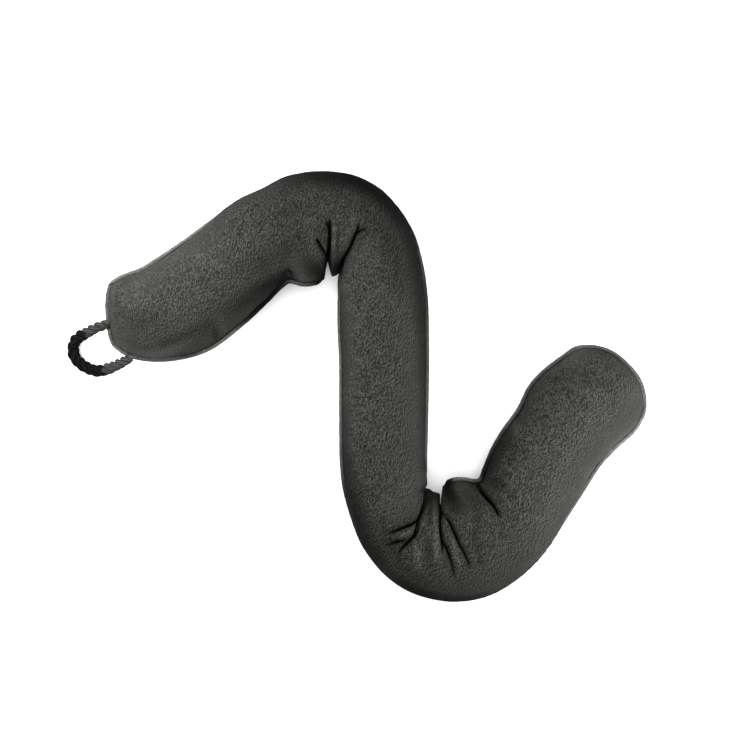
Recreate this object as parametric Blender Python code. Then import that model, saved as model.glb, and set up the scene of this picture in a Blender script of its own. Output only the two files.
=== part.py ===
"""Draught excluder: a filled fleece tube that lies in an S, with a piped seam and a twisted rope loop.

Metres, +Z up. It rests on the plane z = 0, and the origin lies under the middle of its plan.
Its sides, seen from the loop's end along the tube, are called left and right.
The tables are in millimetres.
"""

import math
from collections import namedtuple

import bmesh
import bpy
import numpy as np

MM = 0.001

# Filled cover
SEAM_HEIGHT = 30.0  # of the side seams above the floor
SEAM_DROP_AT_ENDS = 7.0  # how much lower the seam lies at the two ends
PRESSED_IN = 5.0  # how far the floor flattens the round underside
END_RISE_LENGTH = 50.0  # from an end seam to the full height
END_ROUNDNESS = 2.3
SIDE_ROUNDNESS = 2.4
BOW_ROUNDNESS = 2.6
END_HALF_THICKNESS = 2.0
PINCH_SHARPNESS = 1.5  # of a pinch's deepest place
PINCH_FADE = 1.5  # how soon a pinch fades from the side towards the crown
CREASE_SHARPNESS = 1.8
RELIEF_FULL_FROM = 0.4  # share of the height above the seam from which creases have their full depth
TOP_COLUMNS = 24
UNDERSIDE_COLUMNS = 10

# Piping
PIPING_WIDE = 4.6  # out from the seam
PIPING_THICK = 3.4
PIPING_SIDES = 8
PIPING_GAP = 0.6  # between the piping's middle ring and the seam
PIPING_TAPER = 9.0  # length over which it thins at a cut end
PIPING_THINNEST = 0.4  # share of the full size at the end itself
PIPING_LONGEST_STEP = 9.0
PIPING_LARGEST_TURN = math.radians(11.0)
END_SEAM_STEPS = 16

# Hanging loop
ROPE_DIAMETER = 9.5
ROPE_STRANDS = 3
ROPE_GROOVE = 1.1  # depth between two strands
ROPE_LAY = 22.5  # length of one full turn of the strands
ROPE_STEP = 2.1
ROPE_SIDES_PER_STRAND = 4

# Cross-sections of the tube, from the loop's end to the far end. Left and right are the two ends of
# the section in plan, crown is its height, bow is how far it bulges towards the end of the tube, the
# rolls turn the seam up (+) or under (-) in degrees, and rows is the number of mesh rows to the next.
Section = namedtuple("Section", "left_x left_y right_x right_y crown bow left_roll right_roll rows")
SECTIONS = [
    Section(*row)
    for row in (
        (-263, 105, -259, 38, 66, 4, 0, 0, 3),
        (-257, 108, -252, 33, 67, 4, 0, 0, 3),
        (-249, 112, -242, 28, 67, 3, 0, 0, 3),
        (-235, 117, -226, 25, 68, 2, 0, 0, 3),
        (-217, 128, -201, 26, 68, 0, 0, 0, 3),
        (-192, 145, -169, 36, 67, 0, -5, 0, 3),
        (-165, 165, -135, 59, 68, 0, -20, 3, 3),
        (-135, 187, -109, 82, 69, 0, -32, 5, 3),
        (-111, 198, -94, 97, 70, 0, -35, 8, 4),
        (-90, 208, -83, 102, 71, 0, -35, 8, 4),
        (-70, 213, -70, 99, 72, 0, -35, 8, 5),
        (-57, 214, -57, 101.5, 72, 0, -35, -8, 9),
        (-42, 213.5, -48, 107, 72, 0, -35, -30, 7),
        (-15, 207, -38, 110, 72, 0, -35, -32, 5),
        (3, 197, -36, 109, 72, 0, -35, -32, 4),
        (21, 180, -36, 102, 73, 0, -32, -30, 3),
        (36, 157, -36, 91, 74, 0, -25, -22, 3),
        (45, 128, -37, 74, 75, 0, -18, -14, 3),
        (51, 96, -37, 52, 76, 0, -12, -10, 3),
        (54, 51, -36, 24, 76, 0, -10, -8, 3),
        (54, 1, -36, -9, 76, 0, -8, -8, 3),
        (53, -44, -36, -44, 76, 0, -12, -5, 3),
        (52, -76, -35, -82, 75, 0, -22, -5, 3),
        (52, -91, -31, -105, 75, 0, -32, -8, 4),
        (53, -100, -23, -130, 74, 0, -34, -20, 5),
        (56, -104, -12, -157, 73, 0, -34, -30, 5),
        (60, -106, 14, -190, 73, 0, -34, -35, 6),
        (66, -106, 43, -207, 73, 0, -34, -35, 9),
        (70, -97.5, 67, -213, 73, 0, -20, -35, 7),
        (77, -92.5, 87, -214, 73, 0, 8, -35, 6),
        (86, -91, 115, -209, 72, 0, 8, -35, 5),
        (96, -94, 142, -194, 71, 0, 4, -35, 5),
        (103, -92, 163, -175, 71, 0, 2, -33, 4),
        (109, -79, 179, -154, 70, 0, 5, -28, 4),
        (116, -62, 193, -132, 69, 0, 6, -18, 3),
        (127, -43, 209, -107, 69, 0, 3, -6, 3),
        (142, -22, 227, -79, 68, 0, 0, 0, 3),
        (155, 3, 245, -59, 69, 1, 0, 0, 3),
        (171, 19, 259, -46, 69, 4, 0, 0, 3),
        (187, 30, 266, -36, 68, 8, 0, 0, 3),
        (200, 38, 270, -27, 67, 12, 0, 0, 3),
        (209, 40, 271, -20, 66, 14, 0, 0, 1),
    )
]

# Pinches draw the side of the tube in at a bend: the mouth in plan, the depth, and how far the mouth
# reaches before and after its deepest place, counted along the tube.
Pinch = namedtuple("Pinch", "side x y depth before after")
PINCHES = [
    Pinch("right", -87, 102, 1, 5, 5),
    Pinch("right", -49, 106, 18, 2.2, 8.5),
    Pinch("right", -36, 110, 3, 4, 4),
    Pinch("left", 53, -101, 3, 3, 2.5),
    Pinch("left", 67.6, -102, 17, 6, 1.5),
    Pinch("left", 103, -91, 1, 7, 7),
]

# Creases run over the top from the pinches: the route in plan, the depth and half the width.
Crease = namedtuple("Crease", "route depth half_width")
CREASES = [
    Crease(((-90, 108), (-86, 110), (-82, 109)), 3.0, 5),
    Crease(((-48, 122), (-53, 136), (-58, 146)), 6.0, 8),
    Crease(((-47, 122), (-45, 136), (-45, 152), (-49, 166)), 8.0, 8),
    Crease(((-45, 152), (-42, 166)), 3.5, 6),
    Crease(((-36, 108), (-33, 124), (-25, 138), (-17, 154), (-12, 162)), 8.0, 9),
    Crease(((53, -100), (49, -116), (43, -131), (32, -140), (12, -147)), 7.0, 8),
    Crease(((43, -131), (38, -148), (24, -166)), 5.5, 8),
    Crease(((22, -153), (9, -159)), 2.5, 6),
    Crease(((67, -112), (64, -134), (67, -154), (77, -183)), 8.0, 8),
    Crease(((69, -116), (74, -134), (83, -156), (93, -183)), 7.0, 8),
    Crease(((102, -90), (107, -104), (116, -119), (123, -128)), 8.0, 8),
]

# Soft hollows beside the seams: the place in plan, the depth and the radius.
Hollow = namedtuple("Hollow", "x y depth radius")
HOLLOWS = [
    Hollow(-154, 67, 2.5, 18),
    Hollow(-122, 80, 2.5, 16),
    Hollow(135, -57, 2.5, 16),
    Hollow(148, -31, 2.5, 18),
]

# Route of the rope's middle line: out of the end seam, down to the floor and back up to the side seam.
Route = namedtuple("Route", "x y z")
LOOP_ROUTE = [
    Route(*point)
    for point in (
        (-270.8, 60, 23),
        (-280, 57, 20.5),
        (-290, 52, 14),
        (-297, 48, 8.5),
        (-301, 43, 5.4),
        (-302, 37, 4.8),
        (-301, 31, 4.8),
        (-297, 25, 4.8),
        (-290, 20, 4.8),
        (-282, 16.5, 5.2),
        (-275, 15.5, 7),
        (-267, 16.5, 11),
        (-260, 19, 15.5),
        (-254, 22, 20),
        (-249, 25.3, 24),
        (-246, 27.5, 26),
    )
]


def smoothed(knots, values, places):
    """Values at the places, on a smooth curve through the knots."""
    slopes = np.gradient(values, knots, axis=0)
    before = np.clip(np.searchsorted(knots, places, side="right") - 1, 0, len(knots) - 2)
    span = knots[before + 1] - knots[before]
    t = (places - knots[before]) / span
    shape = (-1,) + (1,) * (values.ndim - 1)
    t = t.reshape(shape)
    span = span.reshape(shape)
    return (
        (2 * t**3 - 3 * t**2 + 1) * values[before]
        + (t**3 - 2 * t**2 + t) * span * slopes[before]
        + (3 * t**2 - 2 * t**3) * values[before + 1]
        + (t**3 - t**2) * span * slopes[before + 1]
    )


def way_in(ends, others):
    inward = others - ends
    return inward / np.linalg.norm(inward, axis=1, keepdims=True)


def pinched(side, ends):
    """How far the pinches of one side draw each section's end in."""
    depth = np.zeros(len(ends))
    for pinch in PINCHES:
        if pinch.side == side:
            away = np.hypot(ends[:, 0] - pinch.x, ends[:, 1] - pinch.y)
            deepest = int(away.argmin())
            after = np.arange(len(ends)) > deepest
            away = (away - away[deepest]) / np.where(after, pinch.after, pinch.before)
            closeness = np.clip(1 - away, 0, 1)
            depth = np.maximum(depth, pinch.depth * closeness**PINCH_SHARPNESS)
    return depth


def set_back(ends, others, rolls):
    """The section ends, moved in so that the piping reaches the outline where it isn't rolled under."""
    half = np.linalg.norm(others - ends, axis=1) / 2
    rolled_in = half * (1 - np.cos(rolls) ** (2 / SIDE_ROUNDNESS))
    room = (PIPING_WIDE + PIPING_GAP) * np.cos(rolls) - rolled_in
    return ends + way_in(ends, others) * np.clip(room, 0, None)[:, None]


class Tube:
    """The tube's rows, each a cross-section, with the points of its surface."""

    def __init__(self):
        table = np.array(SECTIONS, dtype=float)
        middles = (table[:, 0:2] + table[:, 2:4]) / 2
        steps = np.linalg.norm(np.diff(middles, axis=0), axis=1)
        knots = np.concatenate([[0], np.cumsum(steps)])
        places = [knots[-1]]
        for number, section in enumerate(SECTIONS[:-1]):
            share = np.arange(section.rows) / section.rows
            places.extend(knots[number] + share * steps[number])
        self.places = np.sort(places)
        self.length = knots[-1]
        rows = smoothed(knots, table, self.places)
        left, right = rows[:, 0:2], rows[:, 2:4]
        self.crown, self.bow = rows[:, 4], rows[:, 5]
        self.rolls = {"left": np.radians(rows[:, 6]), "right": np.radians(rows[:, 7])}
        self.left = set_back(left, right, self.rolls["left"])
        self.right = set_back(right, left, self.rolls["right"])
        self.left_pinch = pinched("left", self.left)
        self.right_pinch = pinched("right", self.right)
        self.middle = (self.left + self.right) / 2
        across = (self.left - self.right) / 2
        self.half = np.linalg.norm(across, axis=1)
        self.across = across / self.half[:, None]
        self.ahead = np.stack([self.across[:, 1], -self.across[:, 0]], axis=1)
        self.outward = np.where(self.places < self.length / 2, -1.0, 1.0)
        self.rise = self.end_rise()
        self.seam = SEAM_HEIGHT - SEAM_DROP_AT_ENDS * (1 - self.rise)

    def end_rise(self):
        """From 0 at an end seam to 1 where the tube has its full height."""
        to_end = np.minimum(self.places, self.length - self.places)
        missing = np.clip(1 - to_end / END_RISE_LENGTH, 0, 1)
        return (1 - missing**END_ROUNDNESS) ** (1 / END_ROUNDNESS)

    def plain_point(self, row, angle):
        """A surface point before creases: 0 is the left seam, 90 degrees the crown, 180 the right one."""
        side, height = math.cos(angle), math.sin(angle)
        offset = math.copysign(abs(side) ** (2 / SIDE_ROUNDNESS), side)
        pinch = self.left_pinch[row] if offset > 0 else -self.right_pinch[row]
        reach = self.half[row] * offset - pinch * abs(offset) ** PINCH_FADE
        bulge = self.bow[row] * (1 - abs(offset) ** BOW_ROUNDNESS) * self.outward[row]
        plan = self.middle[row] + self.across[row] * reach + self.ahead[row] * bulge
        if height >= 0:
            full = self.crown[row] - self.seam[row] - END_HALF_THICKNESS
            z = self.seam[row] + (END_HALF_THICKNESS + full * self.rise[row]) * height
        else:
            full = self.seam[row] + PRESSED_IN - END_HALF_THICKNESS
            z = max(0.0, self.seam[row] + (END_HALF_THICKNESS + full * self.rise[row]) * height)
        return np.array([plan[0], plan[1], z])

    def point(self, row, angle):
        """A surface point, drawn in by the creases and hollows of the upper side."""
        plain = self.plain_point(row, angle)
        height = math.sin(angle)
        if height <= 0:
            return plain
        depth = relief_depth(plain[0], plain[1]) * min(1.0, height / RELIEF_FULL_FROM)
        core = np.array([*self.middle[row], self.seam[row]])
        inward = core - plain
        return plain + inward / np.linalg.norm(inward) * depth


def relief_depth(x, y):
    """How deep the creases and hollows are at a place in plan."""
    depth = 0.0
    for crease in CREASES:
        near, along = distance_to_route(x, y, crease.route)
        closeness = max(0.0, 1 - near / crease.half_width)
        depth = max(depth, crease.depth * (1 - along**3) * closeness**CREASE_SHARPNESS)
    for hollow in HOLLOWS:
        away = math.hypot(x - hollow.x, y - hollow.y) / hollow.radius
        depth = max(depth, hollow.depth * max(0.0, 1 - away**2) ** 2)
    return depth


def distance_to_route(x, y, route):
    """The distance in plan to a route, and how far along it the nearest place is, from 0 to 1."""
    corners = np.array(route, dtype=float)
    starts, runs = corners[:-1], np.diff(corners, axis=0)
    lengths = np.linalg.norm(runs, axis=1)
    share = ((np.array([x, y]) - starts) * runs).sum(axis=1) / lengths**2
    share = np.clip(share, 0, 1)
    away = np.linalg.norm(starts + runs * share[:, None] - (x, y), axis=1)
    nearest = int(away.argmin())
    travelled = lengths[:nearest].sum() + share[nearest] * lengths[nearest]
    return away[nearest], travelled / lengths.sum()


def skin_rings(name, rings, closed_by):
    """An object whose rings of points are joined by quads, its ends closed by the given function."""
    mesh = bmesh.new()
    loops = [[mesh.verts.new(point * MM) for point in ring] for ring in rings]
    for here, there in zip(loops, loops[1:]):
        for i in range(len(here)):
            j = (i + 1) % len(here)
            mesh.faces.new((here[i], here[j], there[j], there[i]))
    closed_by(mesh, loops[0])
    closed_by(mesh, loops[-1])
    bmesh.ops.recalc_face_normals(mesh, faces=mesh.faces)
    data = bpy.data.meshes.new(name)
    mesh.to_mesh(data)
    mesh.free()
    data.shade_smooth()
    made = bpy.data.objects.new(name, data)
    bpy.context.scene.collection.objects.link(made)
    return made


def close_flat(mesh, loop):
    mesh.faces.new(loop)


def close_lens(mesh, loop):
    """Closes a pillow end: its upper and lower edges run from the left corner to the right corner."""
    upper = loop[: TOP_COLUMNS + 1]
    lower = [loop[0], *reversed(loop[TOP_COLUMNS:])]
    up, low = 0, 0
    while up < len(upper) - 1 or low < len(lower) - 1:
        step_up = (up + 1) / (len(upper) - 1) <= (low + 1) / (len(lower) - 1)
        if step_up:
            corners = (upper[up], upper[up + 1], lower[low])
            up += 1
        else:
            corners = (upper[up], lower[low + 1], lower[low])
            low += 1
        if len(set(corners)) == 3:
            mesh.faces.new(corners)


def make_cover(tube):
    angles = [math.pi * i / TOP_COLUMNS for i in range(TOP_COLUMNS)]
    angles += [math.pi * (1 + i / UNDERSIDE_COLUMNS) for i in range(UNDERSIDE_COLUMNS)]
    rings = [[tube.point(row, angle) for angle in angles] for row in range(len(tube.places))]
    return skin_rings("filled_cover", rings, close_lens)


def side_seam(tube, side, rows):
    """Places of the seam on one side of the given rows, with the seam's roll at each."""
    path = []
    for row in rows:
        roll = tube.rolls[side][row]
        angle = roll if side == "left" else math.pi - roll
        path.append((tube.point(row, angle), roll))
    return path


def end_seam(tube, row, from_left):
    """Places along an end seam between its two corners."""
    path = []
    angles = [math.pi * (i + 1) / END_SEAM_STEPS for i in range(END_SEAM_STEPS - 1)]
    for angle in angles if from_left else reversed(angles):
        above, below = tube.plain_point(row, angle), tube.plain_point(row, -angle)
        path.append(((above + below) / 2, 0.0))
    return path


def with_way_out(path):
    """The path with the way out of the cover at each place. The cover lies on its right."""
    places = np.array([place for place, _ in path])
    runs = np.diff(places, axis=0)
    runs /= np.linalg.norm(runs, axis=1, keepdims=True)
    turned = []
    for i, (place, roll) in enumerate(path):
        run = runs[max(i - 1, 0)] + runs[min(i, len(runs) - 1)]
        level = math.hypot(run[0], run[1])
        out = (-run[1] / level * math.cos(roll), run[0] / level * math.cos(roll), math.sin(roll))
        turned.append((place, np.array(out)))
    return turned


def thinned(path):
    """The path without the points that neither its length nor its turns need."""
    kept = [0]
    for i in range(1, len(path) - 1):
        last = path[kept[-1]][0]
        length = np.linalg.norm(path[i + 1][0] - last)
        before, after = path[i][0] - last, path[i + 1][0] - path[i][0]
        cosine = before @ after / (np.linalg.norm(before) * np.linalg.norm(after))
        turn = math.acos(min(1.0, cosine))
        if length > PIPING_LONGEST_STEP or turn > PIPING_LARGEST_TURN:
            kept.append(i)
    kept.append(len(path) - 1)
    return [path[i] for i in kept]


def tapered(path):
    """The share of the full size at each place of the path."""
    places = np.array([place for place, _ in path])
    steps = np.linalg.norm(np.diff(places, axis=0), axis=1)
    along = np.concatenate([[0], np.cumsum(steps)])
    to_end = np.minimum(along, along[-1] - along)
    return PIPING_THINNEST + (1 - PIPING_THINNEST) * np.clip(to_end / PIPING_TAPER, 0, 1)


def make_piping(name, path):
    path = thinned(with_way_out(path))
    sizes = tapered(path)
    centres = np.array(
        [place + out * (PIPING_WIDE / 2 * size + PIPING_GAP) for (place, out), size in zip(path, sizes)]
    )
    runs = np.gradient(centres, axis=0)
    rings = []
    for centre, run, (_, out), size in zip(centres, runs, path, sizes):
        run = run / np.linalg.norm(run)
        out = out - run * (out @ run)
        out = out / np.linalg.norm(out)
        up = np.cross(run, out)
        ring = []
        for i in range(PIPING_SIDES):
            angle = 2 * math.pi * (i + 0.5) / PIPING_SIDES
            ring.append(
                centre
                + out * size * PIPING_WIDE / 2 * math.cos(angle)
                + up * size * PIPING_THICK / 2 * math.sin(angle)
            )
        rings.append(ring)
    return skin_rings(name, rings, close_flat)


def row_at(tube, side, x, y):
    """The row whose end on that side lies nearest to a place in plan."""
    ends = getattr(tube, side)
    return int(np.hypot(ends[:, 0] - x, ends[:, 1] - y).argmin())


def make_piping_1(tube):
    """From the first bend's folds round the loop's end and outside the bend to the second folds."""
    first = row_at(tube, "right", -53, 103)
    last = row_at(tube, "left", 58, -106)
    path = side_seam(tube, "right", range(first, -1, -1))
    path += end_seam(tube, 0, from_left=False)
    path += side_seam(tube, "left", range(last + 1))
    return make_piping("seam_piping_1", path)


def make_piping_2(tube):
    """From the second bend's folds round the far end and outside the bend to the first folds."""
    last_row = len(tube.places) - 1
    first = row_at(tube, "left", 71, -99)
    last = row_at(tube, "right", -37, 109)
    path = side_seam(tube, "left", range(first, last_row + 1))
    path += end_seam(tube, last_row, from_left=True)
    path += side_seam(tube, "right", range(last_row, last - 1, -1))
    return make_piping("seam_piping_2", path)


def make_loop():
    """The rope: strands that turn about its middle line, raised on one solid."""
    route = np.array(LOOP_ROUTE)
    steps = np.linalg.norm(np.diff(route, axis=0), axis=1)
    knots = np.concatenate([[0], np.cumsum(steps)])
    places = np.linspace(0, knots[-1], round(knots[-1] / ROPE_STEP) + 1)
    line = smoothed(knots, route, places)
    runs = np.gradient(line, axis=0)
    sides = ROPE_STRANDS * ROPE_SIDES_PER_STRAND
    rings = []
    for place, centre, run in zip(places, line, runs):
        run = run / np.linalg.norm(run)
        level = np.cross(run, (0, 0, 1))
        level /= np.linalg.norm(level)
        up = np.cross(level, run)
        twist = 2 * math.pi * place / ROPE_LAY
        ring = []
        for i in range(sides):
            angle = 2 * math.pi * i / sides
            groove = ROPE_GROOVE * (1 - math.cos(ROPE_STRANDS * angle)) / 2
            radius = ROPE_DIAMETER / 2 - groove
            turned = angle - twist
            ring.append(centre + radius * (level * math.cos(turned) + up * math.sin(turned)))
        rings.append(ring)
    return skin_rings("hang_loop", rings, close_flat)


def cloth(name, colour, roughness):
    material = bpy.data.materials.new(name)
    material.use_nodes = True
    shader = material.node_tree.nodes["Principled BSDF"]
    shader.inputs["Base Color"].default_value = (*colour, 1.0)
    shader.inputs["Roughness"].default_value = roughness
    shader.inputs["Metallic"].default_value = 0.0
    return material


def main():
    for thing in list(bpy.data.objects):
        bpy.data.objects.remove(thing, do_unlink=True)
    tube = Tube()
    cover = make_cover(tube)
    pipings = [make_piping_1(tube), make_piping_2(tube)]
    loop = make_loop()
    cover.data.materials.append(cloth("charcoal_fleece", (0.045, 0.045, 0.043), 0.95))
    edging = cloth("grey_edging", (0.12, 0.12, 0.12), 0.9)
    for piping in pipings:
        piping.data.materials.append(edging)
    loop.data.materials.append(cloth("twisted_rope", (0.03, 0.03, 0.03), 0.85))


main()
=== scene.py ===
import math

import bpy
import numpy as np
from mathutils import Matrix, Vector, noise


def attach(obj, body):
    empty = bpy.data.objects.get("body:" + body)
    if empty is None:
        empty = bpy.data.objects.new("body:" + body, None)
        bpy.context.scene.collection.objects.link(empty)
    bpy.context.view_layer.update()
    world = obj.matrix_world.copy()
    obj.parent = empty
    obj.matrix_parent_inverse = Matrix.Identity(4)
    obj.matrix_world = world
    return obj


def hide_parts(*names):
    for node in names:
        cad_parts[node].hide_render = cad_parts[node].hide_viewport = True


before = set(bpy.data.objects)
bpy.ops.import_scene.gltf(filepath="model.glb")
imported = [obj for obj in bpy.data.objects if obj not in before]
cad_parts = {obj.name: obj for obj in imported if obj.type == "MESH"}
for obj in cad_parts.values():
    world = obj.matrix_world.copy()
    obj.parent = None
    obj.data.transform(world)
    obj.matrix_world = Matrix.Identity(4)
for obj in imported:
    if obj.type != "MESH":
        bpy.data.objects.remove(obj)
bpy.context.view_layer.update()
mm = 0.001
print("frame loaded")

# straight down from far up, so that the plan stays true
shot = {
    "centre": (0.003, 0.008),  # what the middle of the picture looks at
    "width": 0.756,  # what it takes in from side to side
    "height": 5.0,
    "trueAt": 0.03,  # the height at which that width is true
    "sensor": 36.0,
    "farthest": 20.0,  # what it can still see
}


def makeCamera():
    lens = bpy.data.cameras.new("planCamera")
    lens.sensor_width = shot["sensor"]
    lens.lens = shot["sensor"] * (shot["height"] - shot["trueAt"]) / shot["width"]
    lens.clip_end = shot["farthest"]
    camera = bpy.data.objects.new("planCamera", lens)
    camera.location = (*shot["centre"], shot["height"])
    bpy.context.scene.collection.objects.link(camera)
    bpy.context.scene.camera = camera


makeCamera()
print("camera set")


# a smooth curve through values at the knots, read at the places
def smoothAlong(knots, values, places):
    slopes = np.gradient(values, knots, axis=0)
    before = np.clip(np.searchsorted(knots, places, side="right") - 1, 0, len(knots) - 2)
    span = (knots[before + 1] - knots[before])[:, None]
    t = (places - knots[before])[:, None] / span
    return (
        (2 * t**3 - 3 * t**2 + 1) * values[before]
        + (t**3 - 2 * t**2 + t) * span * slopes[before]
        + (3 * t**2 - 2 * t**3) * values[before + 1]
        + (t**3 - t**2) * span * slopes[before + 1]
    )


def unit(vectors):
    return vectors / np.linalg.norm(vectors, axis=-1, keepdims=True)


# how far along a line of points each one lies
def travelled(line):
    return np.concatenate([[0], np.cumsum(np.linalg.norm(np.diff(line, axis=0), axis=1))])


# how far each value has come from the first limit to the second, from 0 to 1
def between(values, first, second):
    return np.clip((values - first) / (second - first), 0, 1)


# tubes of rings in millimetres, each closed by a fan at both ends, in one mesh with its marks
def skinTubes(name, tubes, marks):
    points, faces, start = [], [], 0
    for rings in tubes:
        count, sides = rings.shape[:2]
        points.append(rings.reshape(-1, 3))
        points.append(rings[[0, -1]].mean(axis=1))
        here = start + np.arange(count - 1)[:, None] * sides + np.arange(sides)
        there = start + np.arange(count - 1)[:, None] * sides + (np.arange(sides) + 1) % sides
        faces += np.stack([here, there, there + sides, here + sides], -1).reshape(-1, 4).tolist()
        first, last = start + count * sides, start + count * sides + 1
        for i in range(sides):
            j = (i + 1) % sides
            faces.append([first, start + j, start + i])
            faces.append([last, last - 1 - sides + i, last - 1 - sides + j])
        start += count * sides + 2
    mesh = bpy.data.meshes.new(name)
    mesh.from_pydata((np.concatenate(points) * mm).tolist(), [], faces)
    for markName, values in marks.items():
        mark = mesh.attributes.new(markName, "FLOAT", "POINT")
        mark.data.foreach_set("value", np.asarray(values, np.float32))
    mesh.validate()
    mesh.shade_smooth()
    piece = bpy.data.objects.new(name, mesh)
    bpy.context.scene.collection.objects.link(piece)
    return piece


# a mark for every point of one tube, none for the middles of its two fans
def markOfTube(values):
    return np.concatenate([values.ravel(), [0, 0]])


# the hanging rope: three strands of yarns laid round a line that leaves one seam and enters the next
rope = {
    "route": [  # x y z
        (-265.5, 62, 23),
        (-270.8, 61, 23),
        (-280, 58, 20.5),
        (-290, 53, 14),
        (-297.8, 48.9, 8.8),
        (-302.3, 43.4, 6.2),
        (-303.4, 37, 5.7),
        (-302.4, 30.3, 5.7),
        (-298, 24.1, 5.7),
        (-290.4, 18.8, 5.8),
        (-282, 15.6, 6.2),
        (-275, 15.6, 7.6),
        (-267, 17.8, 11),
        (-260, 20.5, 15.5),
        (-254, 23.3, 20),
        (-249, 26.3, 24),
        (-244, 29.5, 27.5),
    ],
    "diameter": 9.5,
    "fluff": 1.6,  # how far the yarn stands out from that
    "atRoots": 0.87,  # its size at the two seams
    "rootLength": 12,  # how far from there it keeps that size
    "rootEnds": 32,  # and how far from there it is full
    "strands": 3,
    "strandRadius": 2.8,
    "lay": 22.5,  # one full turn of the strands
    "yarns": 7,  # round each strand
    "yarnLay": 15.0,  # against the lay of the strands
    "yarnDepth": 0.4,
    "waver": 0.035,  # how unevenly thick a strand is, and how fast that changes along it
    "waverPace": 1.1,
    "waverShift": 2.1,  # from strand to strand
    "waverRound": 1.3,  # how far it differs round the strand, and how fast that turns
    "waverTurn": 0.37,
    "offFloor": 0.05,
    "step": 0.42,
    "sides": 42,
    "pathEvery": 4,  # steps between the points that are given as its path
    "dyed": (27.7, 96.6),  # where the black stretch begins and ends along the rope
    "look": {
        "roughness": 0.9,
        "specular": 0.0,
        "lint": {"scale": 1250, "detail": 2, "roughness": 0.7, "distortion": 0.4},
        "ragged": 1.6,  # over how many millimetres the dye ends
        "crestShare": 0.3,  # how much of its light and dark is painted highlight on the yarns' tops and painted shade between them, the rest is lint
        "grey": [(0.3, 0.004), (0.52, 0.019), (0.75, 0.04)],
        "black": [(0.42, 0), (0.54, 0.001), (0.66, 0.015), (0.78, 0.04)],
        "bump": {"Strength": 0.5, "Distance": 0.0002},
    },
}


# how unevenly thick one strand is, along it and round it
def waverOf(strand, places, around):
    differs = rope["waverRound"] * np.sin(around + places[:, None] * rope["waverTurn"])
    phase = places[:, None] * rope["waverPace"] + strand * rope["waverShift"] + differs
    return 1 + rope["waver"] * np.sin(phase)


def makeRope():
    route = np.array(rope["route"], float)
    knots = travelled(route)
    places = np.linspace(0, knots[-1], round(knots[-1] / rope["step"]) + 1)
    line = smoothAlong(knots, route, places)
    run = unit(np.gradient(line, axis=0))
    level = unit(np.cross(run, (0, 0, 1)))
    up = np.cross(level, run)
    twist = 2 * math.pi * (places - knots[1]) / rope["lay"]
    reach = rope["diameter"] / 2 + rope["fluff"] - rope["strandRadius"]
    toRoot = np.minimum(places, places[-1] - places)
    fullness = between(toRoot, rope["rootLength"], rope["rootEnds"])
    size = rope["atRoots"] + (1 - rope["atRoots"]) * fullness
    around = 2 * math.pi * np.arange(rope["sides"]) / rope["sides"]
    tubes, along, crests = [], [], []
    for strand in range(rope["strands"]):
        turn = (2 * math.pi * strand / rope["strands"] - twist)[:, None]
        out = level * np.cos(turn) + up * np.sin(turn)
        middle = line + (reach * size)[:, None] * out
        ahead = unit(np.gradient(middle, axis=0))
        out = unit(out - ahead * (out * ahead).sum(1, keepdims=True))
        side = np.cross(ahead, out)
        yarnTurn = rope["yarns"] / 2 * (around + 2 * math.pi * places[:, None] / rope["yarnLay"])
        crest = np.abs(np.cos(yarnTurn))
        radius = rope["strandRadius"] - rope["yarnDepth"] * (1 - crest)
        uneven = waverOf(strand, places, around)
        spokes = out[:, None] * np.cos(around)[:, None] + side[:, None] * np.sin(around)[:, None]
        skin = middle[:, None] + spokes * (radius * uneven * size[:, None])[..., None]
        skin[..., 2] = np.maximum(skin[..., 2], rope["offFloor"])
        tubes.append(skin)
        along += [np.repeat(places, rope["sides"]), [places[0], places[-1]]]
        # the crest mark carries painted highlight on the yarns' tops and painted shade between them
        crests.append(markOfTube(crest**2))
    marks = {"along": np.concatenate(along), "crest": np.concatenate(crests)}
    piece = skinTubes("twistedRopeLoop", tubes, marks)
    piece.data.materials.append(twoToneYarn())
    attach(piece, "root")
    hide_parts("hang_loop")


# one node of a material, with its settings and its linked or fixed inputs; i0 is input number 0
def put(tree, kind, settings=None, **inputs):
    node = tree.nodes.new(kind)
    for key, value in (settings or {}).items():
        setattr(node, key, value)
    for key, value in inputs.items():
        socket = node.inputs[int(key[1:])] if key[0] == "i" and key[1:].isdigit() else node.inputs[key]
        if isinstance(value, bpy.types.NodeSocket):
            tree.links.new(value, socket)
        else:
            socket.default_value = value
    return node.outputs


def newFinish(name, roughness, specular, sheen=0.0, sheenRoughness=0.5):
    finish = bpy.data.materials.new(name)
    finish.use_nodes = True
    shader = finish.node_tree.nodes["Principled BSDF"]
    shader.inputs["Roughness"].default_value = roughness
    shader.inputs["Specular IOR Level"].default_value = specular
    shader.inputs["Sheen Weight"].default_value = sheen
    shader.inputs["Sheen Roughness"].default_value = sheenRoughness
    return finish, finish.node_tree, shader


blueShare = 0.935  # every grey of this cloth is a little warm


def ramp(tree, factor, stops):
    outputs = put(tree, "ShaderNodeValToRGB", None, Fac=factor)
    elements = outputs[0].node.color_ramp.elements
    while len(elements) < len(stops):
        elements.new(0.5)
    for element, (place, grey) in zip(elements, stops):
        element.position = place
        element.color = (grey, grey, grey * blueShare, 1)
    return outputs["Color"]


def grains(tree, place, scale, detail, roughness, distortion):
    return put(
        tree,
        "ShaderNodeTexNoise",
        None,
        Vector=place,
        Scale=scale,
        Detail=detail,
        Roughness=roughness,
        Distortion=distortion,
    )["Fac"]


def mathOf(tree, operation, first, second):
    return put(tree, "ShaderNodeMath", {"operation": operation}, i0=first, i1=second)[0]


def moved(tree, operation, place, by):
    return put(tree, "ShaderNodeVectorMath", {"operation": operation}, i0=place, i1=by)[0]


# grains that swing as far under 0 as over it
def swing(tree, grain, strength):
    return mathOf(tree, "MULTIPLY", mathOf(tree, "SUBTRACT", grain, 0.5), strength)


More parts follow.
